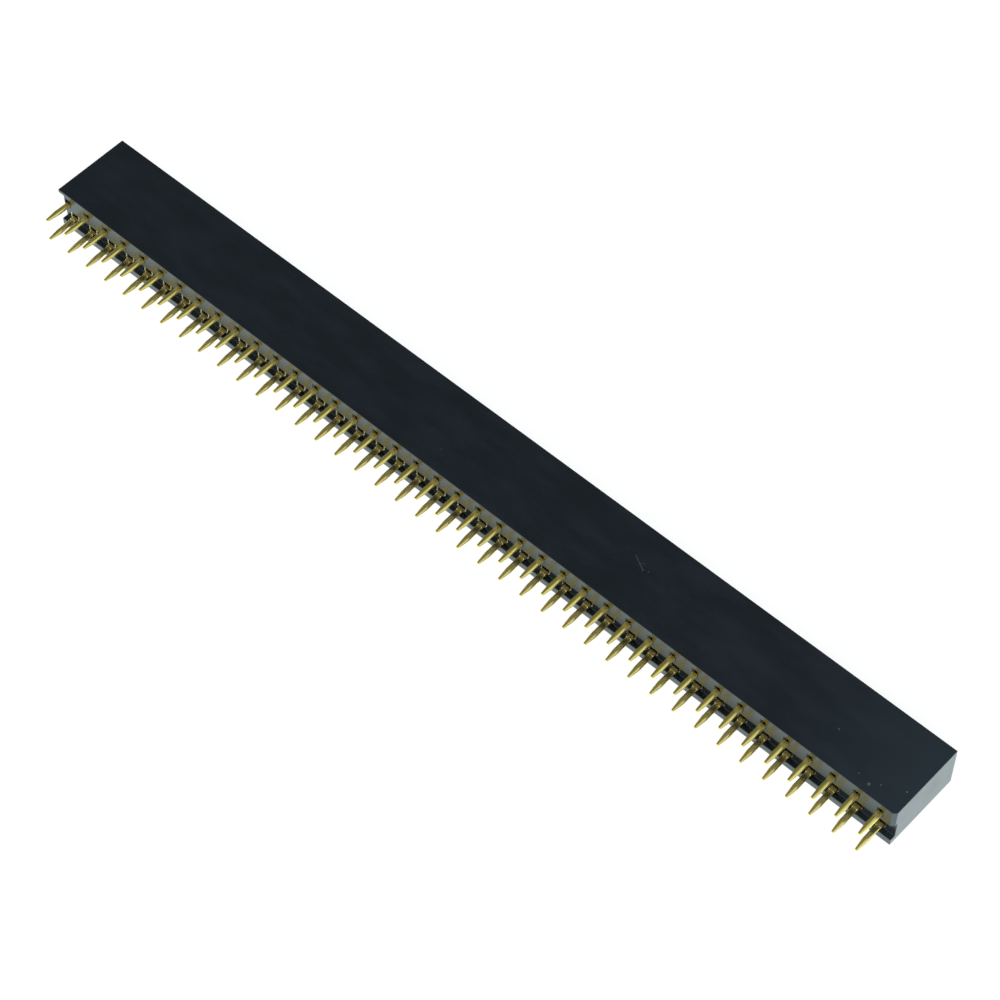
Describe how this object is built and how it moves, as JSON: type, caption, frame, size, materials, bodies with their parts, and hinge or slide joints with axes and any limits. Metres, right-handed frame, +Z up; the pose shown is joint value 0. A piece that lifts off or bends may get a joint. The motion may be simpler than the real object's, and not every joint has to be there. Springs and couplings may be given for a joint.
{
  "type": "two-row pin header socket strip",
  "caption": "Two-row socket strip for pin headers: black moulded housing with gold-plated spring contacts and solder tails, 2.54 mm pitch",
  "frame": {"origin": "on the surface that the strip lies on, under the middle of the whole strip with its tails", "axes": "+X along the strip, -Y the way the solder tails point, +Y out of the socket mouths, +Z up"},
  "size_m": [0.1018, 0.0114, 0.005],
  "materials": {
    "housing_plastic": "black glass-filled moulding with a slight blue-grey cast, satin to glossy",
    "contact_gold": "thin pale gold plating on stamped copper-alloy sheet, semi-bright"
  },
  "bodies": {
    "root": {"housing": "housing_plastic", "contact_pair_01": "contact_gold", "contact_pair_02": "contact_gold", "contact_pair_03": "contact_gold", "contact_pair_04": "contact_gold", "contact_pair_05": "contact_gold", "contact_pair_06": "contact_gold", "contact_pair_07": "contact_gold", "contact_pair_08": "contact_gold", "contact_pair_09": "contact_gold", "contact_pair_10": "contact_gold", "contact_pair_11": "contact_gold", "contact_pair_12": "contact_gold", "contact_pair_13": "contact_gold", "contact_pair_14": "contact_gold", "contact_pair_15": "contact_gold", "contact_pair_16": "contact_gold", "contact_pair_17": "contact_gold", "contact_pair_18": "contact_gold", "contact_pair_19": "contact_gold", "contact_pair_20": "contact_gold", "contact_pair_21": "contact_gold", "contact_pair_22": "contact_gold", "contact_pair_23": "contact_gold", "contact_pair_24": "contact_gold", "contact_pair_25": "contact_gold", "contact_pair_26": "contact_gold", "contact_pair_27": "contact_gold", "contact_pair_28": "contact_gold", "contact_pair_29": "contact_gold", "contact_pair_30": "contact_gold", "contact_pair_31": "contact_gold", "contact_pair_32": "contact_gold", "contact_pair_33": "contact_gold", "contact_pair_34": "contact_gold", "contact_pair_35": "contact_gold", "contact_pair_36": "contact_gold", "contact_pair_37": "contact_gold", "contact_pair_38": "contact_gold", "contact_pair_39": "contact_gold", "contact_pair_40": "contact_gold"}
  },
  "joints": []
}
